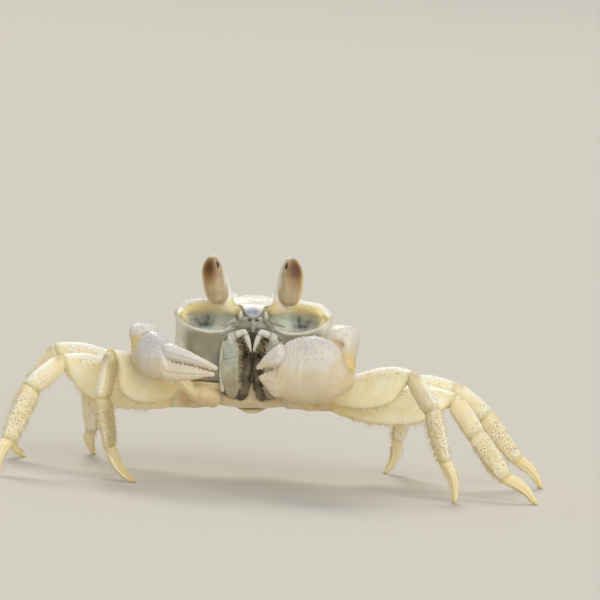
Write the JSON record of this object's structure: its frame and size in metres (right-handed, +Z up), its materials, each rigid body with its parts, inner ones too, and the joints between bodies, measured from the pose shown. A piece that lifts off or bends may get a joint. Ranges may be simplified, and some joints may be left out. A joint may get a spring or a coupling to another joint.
{
  "type": "ghost crab",
  "caption": "Life-size ghost crab, a still model standing on its walking legs, stalked eyes up and unequal claws held to its mouth.",
  "frame": {"origin": "middle of the crab's box, on the floor it stands on", "axes": "+Z up, the crab faces -Y, +X is its own left side"},
  "size_m": [0.0688, 0.0314, 0.0288],
  "materials": {
    "carapace": "satin",
    "underside": "satin",
    "legs": "satin",
    "claws": "satin",
    "mouthparts": "satin",
    "eyestalk": "satin",
    "cornea": "gloss",
    "membranes": "soft",
    "bristles": "matte"
  },
  "bodies": {
    "root": {"carapace": "carapace", "sternum": "underside", "abdomen": "underside", "cornea_left": "cornea", "eyestalk_left": "eyestalk", "antenna_left": "mouthparts", "maxilliped_left": "mouthparts", "palp_left": "mouthparts", "claw_merus_left": "legs", "claw_carpus_left": "claws", "claw_hand_left": "claws", "claw_finger_left": "claws", "leg1_merus_left": "legs", "leg1_carpus_left": "legs", "leg1_propodus_left": "legs", "leg1_dactyl_left": "legs", "leg2_merus_left": "legs", "leg2_carpus_left": "legs", "leg2_propodus_left": "legs", "leg2_dactyl_left": "legs", "leg3_merus_left": "legs", "leg3_carpus_left": "legs", "leg3_propodus_left": "legs", "leg3_dactyl_left": "legs", "leg4_merus_left": "legs", "leg4_carpus_left": "legs", "leg4_propodus_left": "legs", "leg4_dactyl_left": "legs", "cornea_right": "cornea", "eyestalk_right": "eyestalk", "antenna_right": "mouthparts", "maxilliped_right": "mouthparts", "palp_right": "mouthparts", "claw_merus_right": "legs", "claw_carpus_right": "claws", "claw_hand_right": "claws", "claw_finger_right": "claws", "leg1_merus_right": "legs", "leg1_carpus_right": "legs", "leg1_propodus_right": "legs", "leg1_dactyl_right": "legs", "leg2_merus_right": "legs", "leg2_carpus_right": "legs", "leg2_propodus_right": "legs", "leg2_dactyl_right": "legs", "leg3_merus_right": "legs", "leg3_carpus_right": "legs", "leg3_propodus_right": "legs", "leg3_dactyl_right": "legs", "leg4_merus_right": "legs", "leg4_carpus_right": "legs", "leg4_propodus_right": "legs", "leg4_dactyl_right": "legs"}
  },
  "joints": []
}
